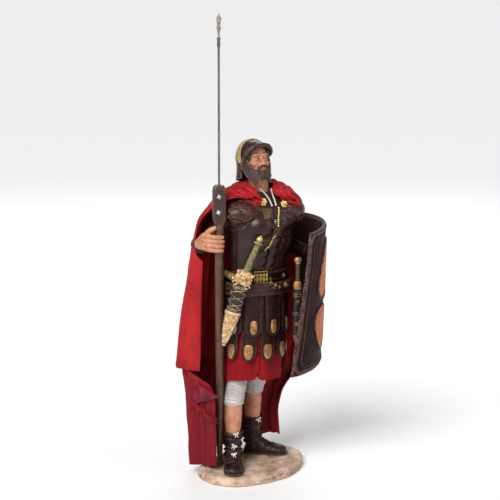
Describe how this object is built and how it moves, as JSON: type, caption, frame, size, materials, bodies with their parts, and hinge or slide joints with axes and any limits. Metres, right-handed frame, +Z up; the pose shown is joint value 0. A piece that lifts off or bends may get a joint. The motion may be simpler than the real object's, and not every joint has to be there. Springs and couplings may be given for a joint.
{
  "type": "roman_soldier_statue",
  "caption": "Standing Roman soldier figurine in helmet, cloak and strip skirt, gripping an upright spear, curved shield on the arm, on a small oval base.",
  "frame": {"origin": "centre of the underside of the base", "axes": "+Z up, the soldier faces -Y, the shield arm is on +X; millimetres in the source, metres in the row"},
  "size_m": [0.1324, 0.1026, 0.4094],
  "materials": {
    "ceramic_base": "matte sandy clay",
    "ceramic_skin": "matte painted clay, skin colour",
    "ceramic_breeches": "matte painted clay, knitted relief",
    "ceramic_cuirass": "satin painted clay, leather colour",
    "ceramic_boots": "satin painted clay, leather colour",
    "ceramic_hair": "matte painted clay, hair colour",
    "leather_helmet": "satin, worn",
    "leather_guard": "satin, worn",
    "leather_dark": "satin, worn edges",
    "leather_brown": "satin, folded",
    "leather_black": "satin",
    "leather_shield": "mottled, satin",
    "painted_emblem": "matte painted relief",
    "brass_band": "dull, rubbed",
    "brass_aged": "antiqued",
    "brass_pale": "rubbed pale gold with brown wash",
    "fabric_cloak": "stiffened cotton weave",
    "fabric_tunic": "stiffened cotton weave",
    "fabric_lace": "braided cord",
    "wood_shaft": "matte stained",
    "steel_shank": "dull grey"
  },
  "bodies": {
    "root": {"base": "ceramic_base", "figure": "ceramic_skin", "helmet": "leather_helmet", "helmet_crest": "brass_band", "cloak": "fabric_cloak", "tunic": "fabric_tunic", "skirt_strips_lower": "leather_dark", "skirt_strips_upper": "leather_dark", "sash": "leather_brown", "belt": "leather_dark", "buckle": "brass_aged", "belt_plate_right": "brass_aged", "belt_stud_left": "brass_aged", "shoulder_guard_right": "leather_guard", "shoulder_guard_left": "leather_guard", "wristband": "leather_dark", "neck_chain": "brass_aged", "helmet_lace_right": "fabric_lace", "helmet_lace_left": "fabric_lace", "brooch_right": "brass_aged", "brooch_left": "brass_aged", "short_sword_hilt": "brass_aged", "short_sword_scabbard": "leather_dark", "long_sword_hilt": "brass_aged", "long_sword_scabbard": "leather_black", "shield": "leather_shield", "spear_shaft": "wood_shaft", "spear_shank": "steel_shank"}
  },
  "joints": []
}
